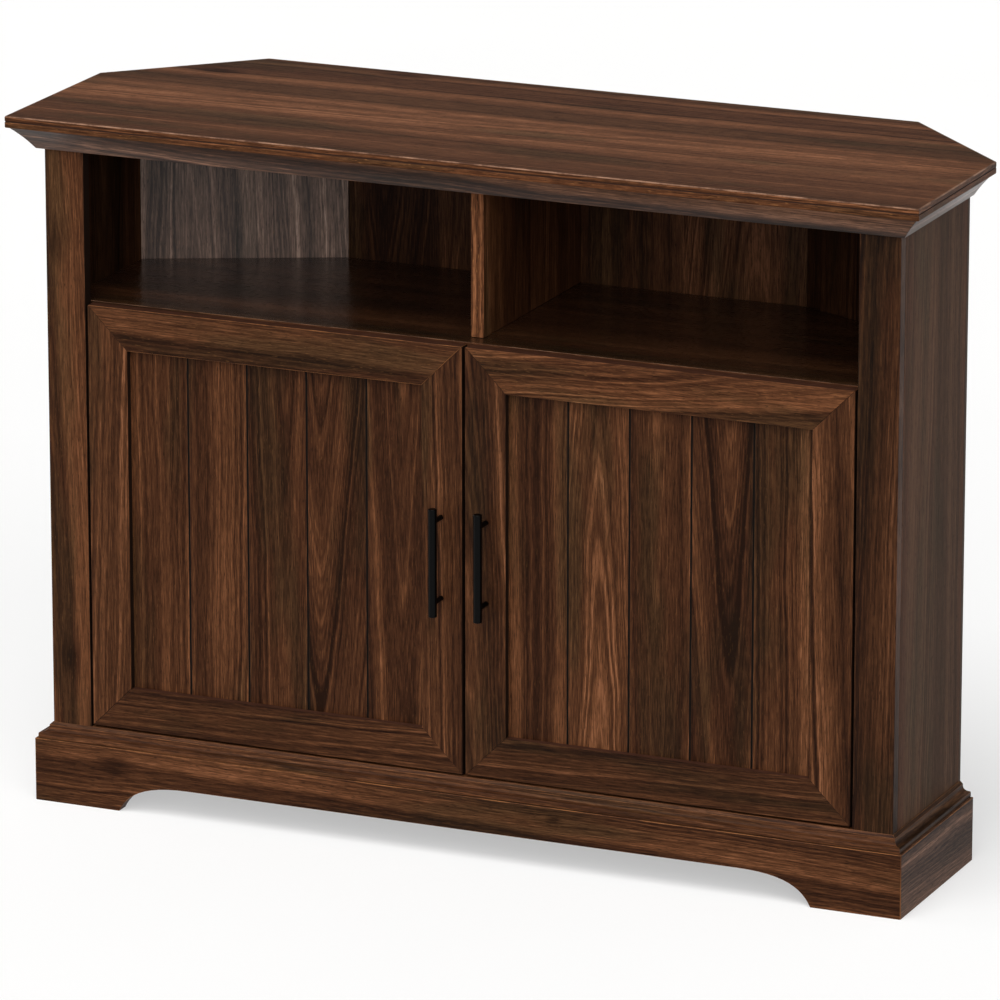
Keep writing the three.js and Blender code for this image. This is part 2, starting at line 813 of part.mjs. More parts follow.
// A peg along y: the shank that goes in the hole, a collar against the panel, and the stub under the shelf
function shelfPeg() {
  const collar = -seat - pegCollarThickness;
  return turned(
    [
      [0, collar - pegStubLength],
      [pegStubDiameter / 2, collar - pegStubLength],
      [pegStubDiameter / 2, collar],
      [pegCollarDiameter / 2, collar],
      [pegCollarDiameter / 2, -seat],
      [pegDiameter / 2, -seat],
      [pegDiameter / 2, pegLength],
      [0, pegLength],
    ],
    pegSides,
  );
}

function addLooseShelves() {
  const innerX = dividerThickness / 2 + looseShelfGap;
  const outerX = sideInnerX - looseShelfGap;
  const cornerIn = -looseShelfGap;
  const plan = [
    [innerX, looseShelfFrontY],
    [outerX, looseShelfFrontY],
    [outerX, cornerY(outerX, cornerIn)],
    [cornerX(cornerIn), backY + cornerIn],
    [innerX, backY + cornerIn],
  ];
  const shelf = planPanel(plan, looseShelfHeight, looseShelfHeight + boardThickness);
  addPair(cabinet, cabinet, "loose_shelf", shelf, innerBoard);
  const pegs = [
    ["side_front", sideInnerX, -Math.PI / 2, pegFrontY],
    ["side_rear", sideInnerX, -Math.PI / 2, pegSideRearY],
    ["divider_front", dividerThickness / 2, Math.PI / 2, pegFrontY],
    ["divider_rear", dividerThickness / 2, Math.PI / 2, pegDividerRearY],
  ];
  for (const [name, x, turn, y] of pegs) {
    const peg = shelfPeg().rotateZ(turn).translate(x, y, pegAxisHeight);
    addPair(cabinet, cabinet, `shelf_peg_${name}`, peg, nickel);
  }
}

const rightDoor = new THREE.Group();
rightDoor.name = "right_door";
const leftDoor = new THREE.Group();
leftDoor.name = "left_door";
cabinet.add(rightDoor, leftDoor);
addTop();
addCarcass();
addPlinth();
addHingeArms();
addLooseShelves();
addDoors(rightDoor, leftDoor);

export default cabinet;
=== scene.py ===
import json
from math import cos, pi, radians, sin

import bpy
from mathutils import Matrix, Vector

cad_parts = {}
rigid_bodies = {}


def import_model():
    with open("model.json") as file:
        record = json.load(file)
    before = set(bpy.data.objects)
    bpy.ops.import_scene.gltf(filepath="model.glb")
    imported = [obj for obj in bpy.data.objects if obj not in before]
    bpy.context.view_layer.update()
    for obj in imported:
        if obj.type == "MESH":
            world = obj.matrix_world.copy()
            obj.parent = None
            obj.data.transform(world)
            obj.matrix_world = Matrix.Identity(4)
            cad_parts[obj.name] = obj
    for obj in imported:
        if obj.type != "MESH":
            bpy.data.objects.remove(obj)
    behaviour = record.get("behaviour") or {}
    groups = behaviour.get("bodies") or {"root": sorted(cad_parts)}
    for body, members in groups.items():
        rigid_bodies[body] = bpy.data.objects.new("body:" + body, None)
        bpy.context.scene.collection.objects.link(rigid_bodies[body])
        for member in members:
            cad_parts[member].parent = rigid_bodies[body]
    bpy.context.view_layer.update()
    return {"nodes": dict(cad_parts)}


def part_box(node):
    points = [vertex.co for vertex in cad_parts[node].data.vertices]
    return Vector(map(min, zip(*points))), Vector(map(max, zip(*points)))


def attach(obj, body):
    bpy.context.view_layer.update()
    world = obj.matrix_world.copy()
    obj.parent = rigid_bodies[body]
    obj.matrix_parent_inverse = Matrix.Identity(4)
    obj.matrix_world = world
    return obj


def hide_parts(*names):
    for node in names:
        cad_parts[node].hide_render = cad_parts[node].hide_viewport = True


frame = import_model()
scene = bpy.context.scene
print("frame loaded:", len(frame["nodes"]), "nodes")


# Camera

camera = {
    "lens": 280.51,  # mm
    "sensor": 36.0,  # mm wide
    "place": (3.4516, -7.9381, 2.8509),
    "turn": 23.656,  # degrees to the left of straight back
    "tilt": -15.924,  # degrees from level
    "farthest": 60.0,
}
bpy.ops.object.camera_add(
    location=camera["place"],
    rotation=(pi / 2 + radians(camera["tilt"]), 0, radians(camera["turn"])),
)
scene.camera = bpy.context.object
scene.camera.data.lens = camera["lens"]
scene.camera.data.sensor_width = camera["sensor"]
scene.camera.data.clip_end = camera["farthest"]
print("camera placed")


# Shader sums: a wire is one output socket, and +, -, *, / on wires add Math nodes

class Wire:
    def __init__(self, tree, socket=None):
        self.tree = tree
        self.socket = socket

    def node(self, kind, settings=None, inputs=None, output=0):
        made = self.tree.nodes.new(kind)
        for name, value in (settings or {}).items():
            if name == "stops":
                ramp = made.color_ramp.elements
                while len(ramp) < len(value):
                    ramp.new(0.5)
                for stop, (position, colour) in zip(ramp, value):
                    stop.position = position
                    stop.color = colour
            else:
                setattr(made, name, value)
        for name, value in (inputs or {}).items():
            if isinstance(value, Wire):
                self.tree.links.new(value.socket, made.inputs[name])
            else:
                made.inputs[name].default_value = value
        return Wire(self.tree, made.outputs[output])

    def out(self, name):
        return Wire(self.tree, self.socket.node.outputs[name])

    def feed(self, socket):
        self.tree.links.new(self.socket, socket)

    def maths(self, operation, *values):
        return self.node("ShaderNodeMath", {"operation": operation}, dict(enumerate(values)))

    def __add__(self, other):
        return self.maths("ADD", self, other)

    def __sub__(self, other):
        return self.maths("SUBTRACT", self, other)

    def __rsub__(self, other):
        return self.maths("SUBTRACT", other, self)

    def __mul__(self, other):
        return self.maths("MULTIPLY", self, other)

    def __truediv__(self, other):
        return self.maths("DIVIDE", self, other)

    __radd__ = __add__
    __rmul__ = __mul__

    def between(self, low, high):  # 0 below low, 1 above high, smooth between
        return self.node(
            "ShaderNodeMapRange",
            {"interpolation_type": "SMOOTHSTEP"},
            {"Value": self, "From Min": low, "From Max": high},
        )

    def mix(self, first, second):  # this wire is the share of the second colour
        return self.node("ShaderNodeMix", {"data_type": "RGBA"}, {0: self, 6: first, 7: second}, 2)

    def ramp(self, colours):
        last = len(colours) - 1
        stops = [(i / last, colour) for i, colour in enumerate(colours)]
        return self.node("ShaderNodeValToRGB", {"stops": stops}, {"Fac": self})


def paint(code, strength=1.0):
    channels = [int(code[i : i + 2], 16) / 255 for i in (0, 2, 4)]
    linear = [c / 12.92 if c <= 0.04045 else ((c + 0.055) / 1.055) ** 2.4 for c in channels]
    return (*[strength * c for c in linear], 1.0)


def newMaterial(name, roughness=0.5, metallic=0.0, specular=0.5):
    material = bpy.data.materials.new(name)
    material.use_nodes = True
    shader = material.node_tree.nodes["Principled BSDF"]
    shader.inputs["Roughness"].default_value = roughness
    shader.inputs["Metallic"].default_value = metallic
    shader.inputs["Specular IOR Level"].default_value = specular
    return material, shader, Wire(material.node_tree)


def objectPoint(sheet, shift=(0, 0, 0)):
    point = sheet.node("ShaderNodeTexCoord", output="Object")
    return sheet.node("ShaderNodeMapping", inputs={"Vector": point, "Location": shift})


def noise(sheet, vector, detail, roughness=0.5):
    values = {"Vector": vector, "Scale": 1.0, "Detail": detail, "Roughness": roughness}
    return sheet.node("ShaderNodeTexNoise", None, values)


def noiseAlong(sheet, distance, detail, roughness):
    values = {"W": distance, "Scale": 1.0, "Detail": detail, "Roughness": roughness}
    return sheet.node("ShaderNodeTexNoise", {"noise_dimensions": "1D"}, values)


def bump(sheet, shader, height, strength, distance):
    values = {"Height": height, "Strength": strength, "Distance": distance}
    sheet.node("ShaderNodeBump", None, values).feed(shader.inputs["Normal"])


# Walnut laminate. The figure is cut from tapering growth rings, strip by strip

walnutLook = {
    "warm": ["190902", "2d170b", "432716", "5f3b24", "84563a"],  # from dark to light
    "olive": ["140b04", "26180c", "3b2917", "523b25", "71563a"],
    # painted sheen: grey colours that stand for a reflection of the pale floor
    "greyed": ["16120f", "2c2521", "453a34", "5e5149", "82756c"],
    "porePaint": "0a0503",
    "fleckPaint": "8a6038",
    "contrast": 1.0,
    "tone": 1.0,
    "grey": 0.0,  # share of the painted sheen, a grey reflection mixed into the colour
    "fleck": 0.15,  # strength of the short light dashes
    "stripWidth": 0.075,
    "stripBlend": 0.35,
    "boards": None,  # (start, pitch) where the strips are real boards
    "oneStrip": None,  # (middle, depth, lean) of a member cut from a single strip
    "wander": 0.030,  # m, how far the grain strays
    "ripple": 0.008,  # m, its small waves
    "ragged": 0.0016,  # m, the torn sides of its lines
    "taper": 0.16,  # of the rings along the board
    "heartPlay": 0.05,  # m, in which the heart of a strip lies
    "heartDepth": (0.002, 0.025),  # m, the least and what chance adds
    "knots": (),  # (along, across, size) of each
    "knotLength": 2.2,  # sizes
    "knotPush": 0.8,  # sizes, how far the lines bend round it
    "roughness": 0.45,
    "roughnessPlay": 0.12,
    "specular": 0.06,
    "relief": (0.22, 0.0002),  # strength, and depth in m
    "reliefOfLines": 0.3,  # next to the pores, which have 1
    "noises": {  # scale along the board and across it, detail, roughness
        "drift": (1.4, 6.0, 2.0, 0.5),
        "ripple": (8.0, 34.0, 2.0, 0.5),
        "ragged": (70.0, 420.0, 2.0, 0.5),
        "patch": (4.0, 22.0, 2.0, 0.5),
        "fibre": (40.0, 700.0, 2.0, 0.6),
        "cloud": (2.4, 16.0, 3.0, 0.55),
        "pore": (110.0, 1500.0, 1.0, 0.5),
        "fleck": (130.0, 900.0, 1.0, 0.5),
    },
    "rings": {  # scale over the rings, jump from strip to strip, detail, roughness
        "broad": (40.0, 60.0, 3.0, 0.5),
        "lines": (270.0, 60.0, 3.0, 0.6),
        "vein": (110.0, 40.0, 1.0, 0.5),
    },
    "levels": {  # where a mark sets in, and where it shows in full
        "vein": (0.62, 0.76),
        "pore": (0.60, 0.72),
        "fleck": (0.62, 0.82),
        "oliveCloud": (0.0, 0.15),
        "oliveStrip": (0.65, 0.9),
    },
    "shares": {
        "broad": 0.85,
        "lines": 1.7,
        "vein": 0.35,
        "fibre": 1.0,
        "cloud": 0.7,
        "strip": 0.4,
        "knot": 0.35,
        "oliveCloud": 0.6,
        "oliveStrip": 0.5,
        "pore": 0.7,
    },
}


def walnut(name, look):
    own = {**walnutLook, **look}
    levels, shares, tone = own["levels"], own["shares"], own["tone"]
    shift = dict(zip("xyz", own["shift"]))
    alongShift, acrossShift = shift[own["grain"][0]], shift[own["grain"][1]]
    material, shader, sheet = newMaterial(name, own["roughness"], specular=own["specular"])
    axes = sheet.node("ShaderNodeSeparateXYZ", None, {0: objectPoint(sheet, own["shift"])})
    along, across, deep = [axes.out(letter.upper()) for letter in own["grain"]]

    def boardNoise(part):
        alongScale, acrossScale, detail, roughness = own["noises"][part]
        values = {"X": along * alongScale, "Y": across * acrossScale, "Z": deep * acrossScale}
        return noise(sheet, sheet.node("ShaderNodeCombineXYZ", None, values), detail, roughness)

    def ringNoise(part, stripLot):
        scale, jump, detail, roughness = own["rings"][part]
        return noiseAlong(sheet, ring * scale + stripLot * jump, detail, roughness)

    def paints(wood):
        return value.ramp([paint(code, tone) for code in own[wood]])

    # where the grain runs; each noise lies about 0.5
    drift = (boardNoise("drift") - 0.5) * own["wander"]
    ripple = (boardNoise("ripple") - 0.5) * own["ripple"]
    ragged = (boardNoise("ragged") - 0.5) * own["ragged"]
    line = across + drift + ripple + ragged
    knotted = 0.0
    for knotAlong, knotAcross, size in own["knots"]:
        far = (along - (knotAlong + alongShift)) / (size * own["knotLength"])
        off = (line - (knotAcross + acrossShift)) / size
        near = sheet.maths("EXPONENT", (far * far + off * off) * -1.0)
        line = line - off * near * (size * own["knotPush"])
        knotted = near * near + knotted

    if own["oneStrip"]:
        middle, depth, slope = own["oneStrip"]
        offset = line - (middle + acrossShift)
        lot = lotTwo = lotThree = 0.5
    else:
        if own["boards"]:
            boardStart, pitch = own["boards"]
            board = sheet.maths("FLOOR", (across - (boardStart + acrossShift)) / pitch)
            settings, values = {"noise_dimensions": "1D"}, {"W": board + acrossShift}
            strip = sheet.node("ShaderNodeTexWhiteNoise", settings, values, "Color")
            centre = (board + 0.5) * pitch + (boardStart + acrossShift)
        else:
            settings = {"voronoi_dimensions": "1D", "feature": "SMOOTH_F1"}
            values = {"W": line / own["stripWidth"], "Scale": 1.0, "Smoothness": own["stripBlend"]}
            strip = sheet.node("ShaderNodeTexVoronoi", settings, values, "Color")
            centre = strip.out("W") * own["stripWidth"]
        chance = sheet.node("ShaderNodeSeparateColor", None, {0: strip})
        lot, lotTwo, lotThree = [chance.out(c) for c in ("Red", "Green", "Blue")]
        offset = line - centre - (lot - 0.5) * own["heartPlay"]
        leastDepth, depthPlay = own["heartDepth"]
        depth = lotTwo * depthPlay + leastDepth
        lean = (lotThree - 0.5) * 2.0
        slope = lean * lean * lean * own["taper"]
    ring = sheet.maths("SQRT", offset * offset + depth * depth) + slope * along

    # how light each part is
    broad = ringNoise("broad", lot) - 0.5
    lines = ringNoise("lines", lotTwo) - 0.5
    vein = ringNoise("vein", lotThree).between(*levels["vein"])
    fibre, cloud = [boardNoise(part) - 0.5 for part in ("fibre", "cloud")]
    pore, fleck = [boardNoise(part).between(*levels[part]) for part in ("pore", "fleck")]
    fine = (lines * shares["lines"] - vein * shares["vein"]) * boardNoise("patch")
    figure = broad * shares["broad"] + fine + fibre * shares["fibre"] + cloud * shares["cloud"]
    figure = figure + (lotThree - 0.5) * shares["strip"] - knotted * shares["knot"]
    value = figure * own["contrast"] + 0.5

    olive = (cloud * -1.0).between(*levels["oliveCloud"]) * shares["oliveCloud"]
    if not own["oneStrip"]:
        olive = olive + lotTwo.between(*levels["oliveStrip"]) * shares["oliveStrip"]
    colour = olive.mix(paints("warm"), paints("olive"))
    # painted sheen: grey mixed into the wood colour
    if own["grey"]:
        values = {0: own["grey"], 6: colour, 7: paints("greyed")}
        colour = sheet.node("ShaderNodeMix", {"data_type": "RGBA"}, values, 2)
    colour = (fleck * own["fleck"]).mix(colour, paint(own["fleckPaint"], tone))
    colour = (pore * shares["pore"]).mix(colour, paint(own["porePaint"], tone))
    colour.feed(shader.inputs["Base Color"])
    dullness = (0.5 - value + pore) * own["roughnessPlay"] + own["roughness"]
    dullness.feed(shader.inputs["Roughness"])
    bump(sheet, shader, (lines + fibre) * own["reliefOfLines"] - pore, *own["relief"])
    return material


# Other finishes. A speckle is (scale, scale upwards, detail, roughness)

def speckle(sheet, scale, upScale, detail, roughness):
    values = {0: objectPoint(sheet), 1: (scale, scale, upScale)}
    point = sheet.node("ShaderNodeVectorMath", {"operation": "MULTIPLY"}, values)
    return noise(sheet, point, detail, roughness)


def roughen(shader, wire, low, high):
    (low + wire * (high - low)).feed(shader.inputs["Roughness"])


# Worn arrises: wear along the edge, with a painted highlight in its light stretches
arrisWearAndGlintLook = {
    "paints": {"pinkish": ("4e3426", "8f6c56"), "orange": ("4a2c19", "80532f")},
    "wear": (30, 30, 4.0, 0.7),
    "wearLevels": (0.36, 0.64),  # between the dark and the light stretches of wear and painted highlight
    "roughness": (0.36, 0.51),
    "specular": 0.12,
}


def wornArris(name, dark, light):
    material, shader, sheet = newMaterial(name + "Arris", specular=arrisWearAndGlintLook["specular"])
    wear = speckle(sheet, *arrisWearAndGlintLook["wear"])
    colour = wear.between(*arrisWearAndGlintLook["wearLevels"]).mix(paint(dark), paint(light))
    colour.feed(shader.inputs["Base Color"])
    roughen(shader, wear, *arrisWearAndGlintLook["roughness"])
    return material


plainLook = {
    "paints": {  # and the roughness of each
        "boardGroovePaint": ("0e0906", 0.7),
        "topGroovePaint": ("2e1b11", 0.7),
        "edgeBand": ("3a2116", 0.6),
        # painted shade: a dark edge colour, darker still for the gaps beside the doors
        "gapBand": ("1a0f09", 0.6),
    },
    "uneven": (60, 60, 3.0, 0.5),
    "tones": (0.6, 1.4),
    "roughnessPlay": 0.1,
    "specular": 0.1,
}


def plainPaint(name, colour, roughness):
    material, shader, sheet = newMaterial(name, specular=plainLook["specular"])
    uneven = speckle(sheet, *plainLook["uneven"])
    dark, light = [paint(colour, tone) for tone in plainLook["tones"]]
    uneven.mix(dark, light).feed(shader.inputs["Base Color"])
    play = plainLook["roughnessPlay"]
    roughen(shader, uneven, roughness - play, roughness + play)
    return material


rawBoardLook = {
    "paints": ("20150e", "38271b", "523a27"),
    "fleckPaint": "6b5239",
    "felt": (420, 420, 3.0, 0.7),
    "feltShare": 0.9,
    "patch": (9, 9, 3.0, 0.5),
    "patchShare": 0.35,
    "fleck": (260, 260, 1.0, 0.5),
    "fleckLevels": (0.66, 0.74),
    "fleckShare": 0.5,
    "roughness": (0.555, 0.805),
    "specular": 0.3,
    "relief": (0.25, 0.0003),
}


def rawBoard():
    look = rawBoardLook
    material, shader, sheet = newMaterial("rawBoard", specular=look["specular"])
    felt = speckle(sheet, *look["felt"])
    patch = speckle(sheet, *look["patch"])
    fleck = speckle(sheet, *look["fleck"]).between(*look["fleckLevels"])
    value = (felt - 0.5) * look["feltShare"] + (patch - 0.5) * look["patchShare"] + 0.5
    colour = value.ramp([paint(code) for code in look["paints"]])
    colour = (fleck * look["fleckShare"]).mix(colour, paint(look["fleckPaint"]))
    colour.feed(shader.inputs["Base Color"])
    roughen(shader, felt, *look["roughness"])
    bump(sheet, shader, felt, *look["relief"])
    return material


lacquerLook = {
    "paints": ("010101", "030303"),
    "grain": (1800, 1800, 2.0, 0.5),
    "roughness": (0.25, 0.35),
    "specular": 0.07,
    "relief": (0.10, 0.0001),
}


def lacquer():
    look = lacquerLook
    material, shader, sheet = newMaterial("blackLacquer", specular=look["specular"])
    grain = speckle(sheet, *look["grain"])
    grain.mix(*[paint(code) for code in look["paints"]]).feed(shader.inputs["Base Color"])
    roughen(shader, grain, *look["roughness"])
    bump(sheet, shader, grain, *look["relief"])
    return material


nickelLook = {
    "paints": ("a9a49a", "d2cdc3"),
    "rub": (900, 160, 3.0, 0.6),
    "stain": (70, 70, 2.0, 0.5),
    "roughness": 0.20,
    "rubRoughness": 0.2,
    "stainRoughness": 0.1,
}


def nickel():
    look = nickelLook
    material, shader, sheet = newMaterial("nickelPlate", metallic=1.0)
    rub = speckle(sheet, *look["rub"])
    stain = speckle(sheet, *look["stain"])
    rub.mix(*[paint(code) for code in look["paints"]]).feed(shader.inputs["Base Color"])
    dullness = look["roughness"] + rub * look["rubRoughness"] + stain * look["stainRoughness"]
    dullness.feed(shader.inputs["Roughness"])
    return material


# worn arris materials, each with a painted highlight
arris = {name: wornArris(name, *paints) for name, paints in arrisWearAndGlintLook["paints"].items()}
plain = {name: plainPaint(name, *values) for name, values in plainLook["paints"].items()}
boardBack = rawBoard()
black = lacquer()
plate = nickel()
print("materials made")


# Pieces

modelling = {
    "mergeWithin": 0.000002,  # m
    "flatWithin": 0.4,  # degrees, between faces of one flat side
    "easedFrom": 32,  # degrees, at an edge that is eased
    "easeSteps": 2,
    "smoothUpTo": 35,  # degrees, at an edge that is shaded smooth
    "levelWithin": 0.00001,  # m, between the ends of a level edge
}
facing = {  # least share of a face's normal along an axis, to look that way
    "halfway": 0.5,
    "mostly": 0.6,
    "squarely": 0.9,
    "exactly": 0.99,
}


def onlySelect(thing):
    bpy.ops.object.select_all(action="DESELECT")
    thing.select_set(True)
    bpy.context.view_layer.objects.active = thing


def stopEditing():
    if bpy.context.mode != "OBJECT":
        bpy.ops.object.mode_set(mode="OBJECT")


def camel(name):
    first, *others = name.split("_")
    return first + "".join(word.capitalize() for word in others)


def corners(nodeName):
    return [Vector(corner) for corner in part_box(nodeName)]


def middleOf(nodeName):
    low, high = corners(nodeName)
    return (low + high) / 2


def settle(piece):  # its place and turn go into its mesh
    onlySelect(piece)
    bpy.ops.object.transform_apply(location=True, rotation=True, scale=True)


def applyAll(piece):
    onlySelect(piece)
    for modifier in list(piece.modifiers):
        bpy.ops.object.modifier_apply(modifier=modifier.name)


def copyNode(nodeName):  # merged, with its flat faces whole again
    node = frame["nodes"][nodeName]
    piece = bpy.data.objects.new(camel(nodeName), node.data.copy())
    scene.collection.objects.link(piece)
    onlySelect(piece)
    bpy.ops.object.mode_set(mode="EDIT")
    bpy.ops.mesh.select_all(action="SELECT")
    bpy.ops.mesh.remove_doubles(threshold=modelling["mergeWithin"])
    bpy.ops.mesh.dissolve_limited(angle_limit=radians(modelling["flatWithin"]))
    bpy.ops.object.mode_set(mode="OBJECT")
    piece.data.materials.clear()
    return piece


def easeEdges(piece, width, material):
    bevel = piece.modifiers.new("easedEdges", "BEVEL")
    bevel.width = width
    bevel.segments = modelling["easeSteps"]
    bevel.limit_method = "ANGLE"
    bevel.angle_limit = radians(modelling["easedFrom"])
    bevel.material = material
    applyAll(piece)


def smooth(piece):
    onlySelect(piece)
    bpy.ops.object.shade_smooth_by_angle(angle=radians(modelling["smoothUpTo"]))
    weighted = piece.modifiers.new("flatFaces", "WEIGHTED_NORMAL")
    weighted.keep_sharp = True
    applyAll(piece)


def bodyOf(nodeName):
    return frame["nodes"][nodeName].parent.name.split(":")[1]


def standFor(piece, nodeName):
    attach(piece, bodyOf(nodeName))
    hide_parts(nodeName)


def makeFrom(nodeName, material, ease, arrisFinish=None):
    piece = copyNode(nodeName)
    piece.data.materials.append(material)
    # eased arrises get wear and a painted highlight
    if arrisFinish:
        piece.data.materials.append(arris[arrisFinish])
    easeEdges(piece, ease, 1 if arrisFinish else -1)
    smooth(piece)
    standFor(piece, nodeName)
    return piece


def dress(nodeName, look):
    wood = walnut(camel(nodeName) + "Walnut", look)
    return makeFrom(nodeName, wood, look["arris"], look.get("arrisFinish"))


def dressAll(looks):
    return [dress(nodeName, look) for nodeName, look in looks.items()]


def paintFaces(piece, material, test):
    piece.data.materials.append(material)
    for face in piece.data.polygons:
        if test(face):
            face.material_index = len(piece.data.materials) - 1


def looksForward(face):
    return face.normal.y < -facing["squarely"]


def looksInside(face):
    return face.normal.x * face.center.x < 0 and abs(face.normal.x) > facing["mostly"]


def addCylinder(name, radius, length, centre, axis, sides):
    turn = {"x": (0, pi / 2, 0), "y": (-pi / 2, 0, 0), "z": (0, 0, 0)}[axis]
    bpy.ops.object.select_all(action="DESELECT")
    bpy.ops.mesh.primitive_cylinder_add(
        vertices=sides, radius=radius, depth=length, location=centre, rotation=turn
    )
    piece = bpy.context.object
    piece.name = name
    settle(piece)
    return piece


# leaves the piece in edit mode, with only the faces or edges that pass selected
def pick(piece, kind, test):
    stopEditing()
    onlySelect(piece)
    bpy.ops.object.mode_set(mode="EDIT")
    bpy.ops.mesh.select_mode(type=kind)
    bpy.ops.mesh.select_all(action="DESELECT")
    bpy.ops.object.mode_set(mode="OBJECT")
    mesh = piece.data
    if kind == "FACE":
        for face in mesh.polygons:
            face.select = test(face)
    else:
        for edge in mesh.edges:
            edge.select = test(*[mesh.vertices[i].co for i in edge.vertices])
    bpy.ops.object.mode_set(mode="EDIT")


def finishWith(piece, material):
    stopEditing()
    piece.data.materials.clear()
    piece.data.materials.append(material)
    smooth(piece)


def copyOf(pattern, name):
    onlySelect(pattern)
    bpy.ops.object.duplicate()
    piece = bpy.context.object
    piece.name = name
    return piece


def copyTo(pattern, nodeName):  # to the place of another node of the same shape
    piece = copyOf(pattern, camel(nodeName))
    ends = [Vector(piece.bound_box[i]) for i in (0, 6)]  # opposite corners
    piece.location = middleOf(nodeName) - (ends[0] + ends[1]) / 2
    settle(piece)
    return piece


# Top, with its crown and rail

top = {
    "grain": "xyz",
    "shift": (0.4, 0.21, 0.0),
    "tone": 1.3,
    "contrast": 0.8,
    "stripWidth": 0.062,
    "stripBlend": 0.5,
    "taper": 0.03,
    "specular": 0.04,
    "arris": 0.0008,
    "arrisFinish": "pinkish",
    "knots": ((-0.437, 0.116, 0.016), (-0.225, 0.172, 0.018), (-0.113, 0.02, 0.008)),
}
topEdge = {
    "groove": (0.8184, 0.8206),  # m above the floor
    "eased": 0.8245,  # the worn arris lies above this
    "upper": {
        "grain": "xzy", "shift": (0.9, 0.4, 0.1), "oneStrip": (0.80, 0.01, 0.0), "tone": 1.25,
    },
    "lower": {
        "grain": "xzy", "shift": (0.2, 0.9, 0.3), "oneStrip": (0.79, 0.01, 0.0), "tone": 1.6,
        "fleck": 0.4,
    },
}
low, high = topEdge["groove"]
eased = topEdge["eased"]
upperEdge = walnut("topEdgeUpper", topEdge["upper"])
lowerEdge = walnut("topEdgeLower", topEdge["lower"])
topPanel = dress("top_panel", top)
paintFaces(topPanel, upperEdge, lambda face: high < face.center.z < eased)
paintFaces(topPanel, lowerEdge, lambda face: face.center.z < low)
paintFaces(topPanel, plain["topGroovePaint"], lambda face: low < face.center.z < high)

crown = {"arris": 0.0006, "roughness": 0.36, "fleck": 0.1, "wander": 0.05}
# The crowns' sheen share is painted sheen, a grey reflection of the pale floor
crownFront = {
    **crown, "grain": "xzy", "tone": 1.3, "contrast": 1.4, "grey": 0.25, "specular": 0.3,
}
crownSide = {**crown, "grain": "yzx", "tone": 1.2, "contrast": 0.8, "grey": 0.3, "specular": 0.4}
crowns = {
    "crown_front": {**crownFront, "shift": (1.3, 0.0, 0.6), "oneStrip": (0.75, 0.02, 0.03)},
    "crown_left": {**crownSide, "shift": (0.2, 2.1, 0.4), "oneStrip": (0.75, 0.02, 0.03)},
    "crown_right": {**crownSide, "shift": (0.7, 3.3, 0.2), "oneStrip": (0.85, 0.02, 0.03)},
}
dressAll(crowns)

rail = {"grain": "xzy", "shift": (2.3, 0.4, 1.1), "oneStrip": (0.70, 0.02, 0.01), "arris": 0.0005}
dress("top_rail", rail)
print("top dressed")


# Carcass

stile = {
    "grain": "zxy",
    "arris": 0.0007,
    "besideDoor": 0.48,  # m from the middle: a side nearer than this faces a door
}
stiles = {
    "stile_left": {
        **stile, "shift": (0.0, 0.3, 0.9), "oneStrip": (-0.56, 0.03, 0.03), "tone": 1.3,
        "contrast": 0.8, "knots": ((0.173, -0.507, 0.013), (0.676, -0.512, 0.017)),
    },
    "stile_right": {
        **stile, "shift": (0.0, 0.9, 2.4), "oneStrip": (0.45, 0.02, -0.03), "tone": 0.55,
    },
}


def looksAtDoor(face):
    return abs(face.normal.x) > facing["squarely"] and abs(face.center.x) < stile["besideDoor"]


# the stiles' sides beside the doors get painted gap shade
for piece in dressAll(stiles):
    paintFaces(piece, plain["gapBand"], looksAtDoor)

# The sides' sheen share is painted sheen
side = {
    "grain": "zyx", "stripWidth": 0.09, "taper": 0.05, "tone": 1.2, "contrast": 0.5, "grey": 0.2,
    "specular": 0.02, "fleck": 0.1, "arris": 0.0005,
}
sides = {
    "side_panel_left": {**side, "shift": (0.2, 0.5, 0.1)},
    "side_panel_right": {**side, "shift": (1.2, 1.5, 1.1)},
}
# inner faces of the sides are painted darker, as shade inside the bays
sideInsideShade = {**side, "shift": (2.2, 0.9, 1.7), "tone": 0.4, "contrast": 1.0, "grey": 0.0}
sideInsideWalnut = walnut("sideInsideWalnut", sideInsideShade)
for piece in dressAll(sides):
    paintFaces(piece, sideInsideWalnut, looksInside)

# Bay backs with painted light: the left slanting panel lighter with painted sheen, the back panel
# and the right slanting panel darker as painted shade
back = {"grain": "zxy", "stripWidth": 0.09, "taper": 0.12, "arris": 0.0003}
backs = {  # raw board but for the side that looks inward
    "back_panel": {**back, "shift": (0.05, 0.6, 1.7), "tone": 0.55, "inward": (0, -1, 0)},
    "corner_back_left": {
        **back, "shift": (0.37, 0.2, 0.3), "oneStrip": (-0.46, 0.004, 0.05), "wander": 0.06,
        "tone": 1.6, "grey": 0.7, "specular": 0.3, "inward": (0.4, -0.9, 0),
    },
    "corner_back_right": {
        **back, "shift": (0.97, 0.5, 2.3), "tone": 0.3, "inward": (-0.4, -0.9, 0),
    },
}
for nodeName, look in backs.items():
    inward = Vector(look["inward"])
    piece = dress(nodeName, look)
    paintFaces(piece, boardBack, lambda face: face.normal.dot(inward) < facing["halfway"])

shelf = {"grain": "xyz", "taper": 0.04, "arris": 0.0007}
